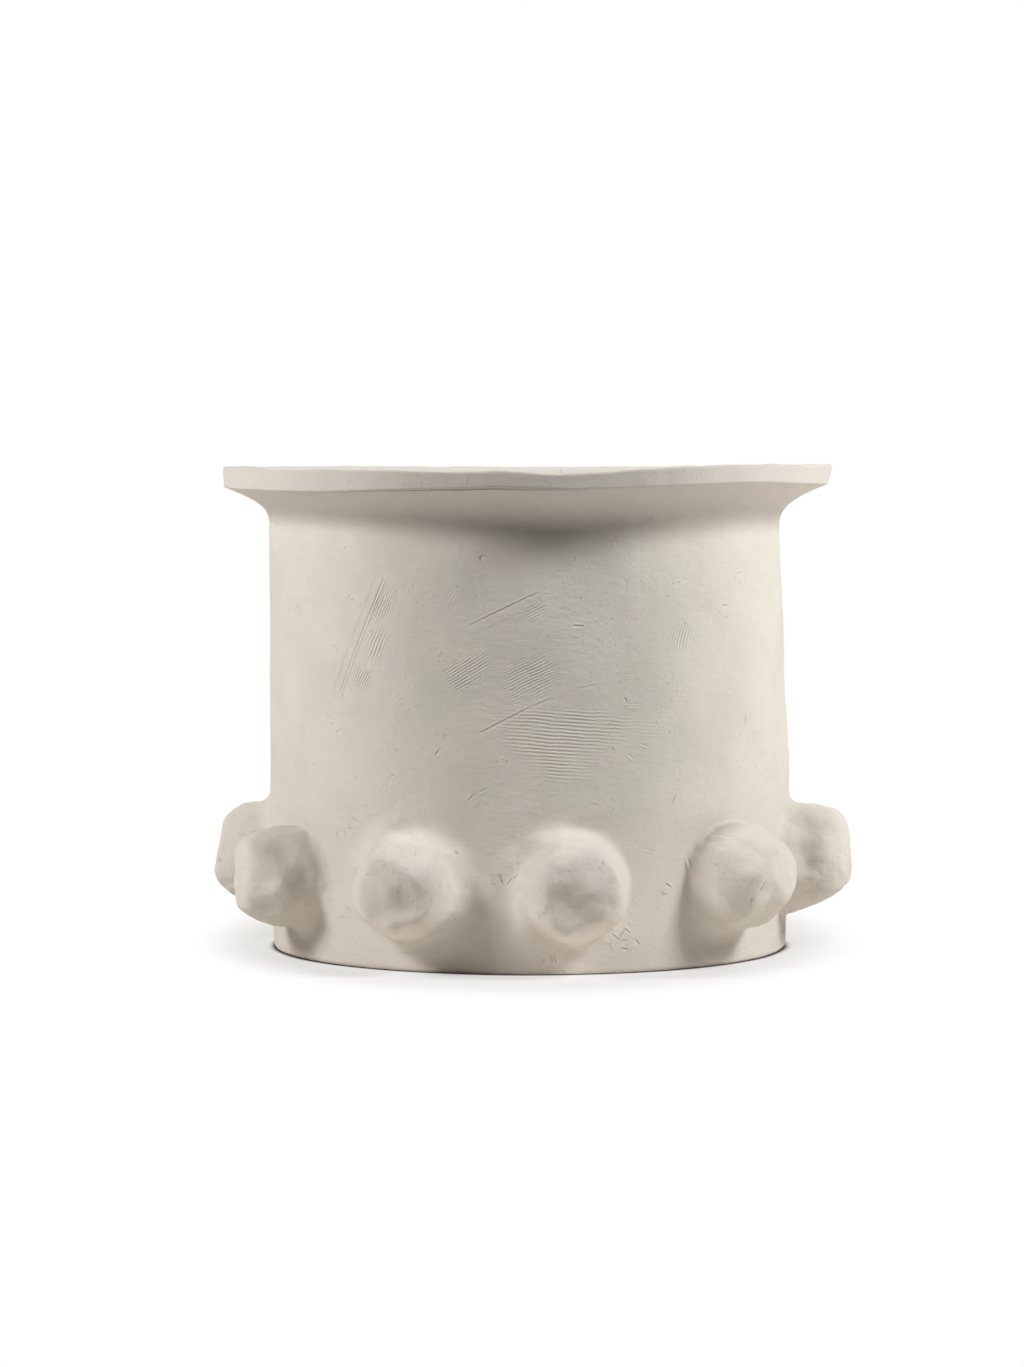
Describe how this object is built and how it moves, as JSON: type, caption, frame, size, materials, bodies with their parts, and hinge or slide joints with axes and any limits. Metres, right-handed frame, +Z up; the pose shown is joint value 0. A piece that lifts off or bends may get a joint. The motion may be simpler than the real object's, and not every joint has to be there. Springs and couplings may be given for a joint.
{
  "type": "flower pot",
  "caption": "Hand-built round stoneware flower pot: straight drum, flared flat rim with a thick lip, and a ring of paddled clay knobs round the foot.",
  "frame": {"origin": "centre of the foot, on the floor, where the drain hole opens", "axes": "+Z up through the mouth of the pot; the pictured front faces -Y; +X to its right"},
  "size_m": [0.4025, 0.4, 0.3],
  "materials": {
    "stoneware": "matt unglazed off-white stoneware with tool marks and small pits"
  },
  "bodies": {
    "root": {"base_slab": "stoneware", "wall": "stoneware", "rim_flange": "stoneware", "rim_support_coil": "stoneware", "base_seam_coil": "stoneware", "knob_01": "stoneware", "knob_02": "stoneware", "knob_03": "stoneware", "knob_04": "stoneware", "knob_05": "stoneware", "knob_06": "stoneware", "knob_07": "stoneware", "knob_08": "stoneware", "knob_09": "stoneware", "knob_10": "stoneware", "knob_collar_01": "stoneware", "knob_collar_02": "stoneware", "knob_collar_03": "stoneware", "knob_collar_04": "stoneware", "knob_collar_05": "stoneware", "knob_collar_06": "stoneware", "knob_collar_07": "stoneware", "knob_collar_08": "stoneware", "knob_collar_09": "stoneware", "knob_collar_10": "stoneware"}
  },
  "joints": []
}
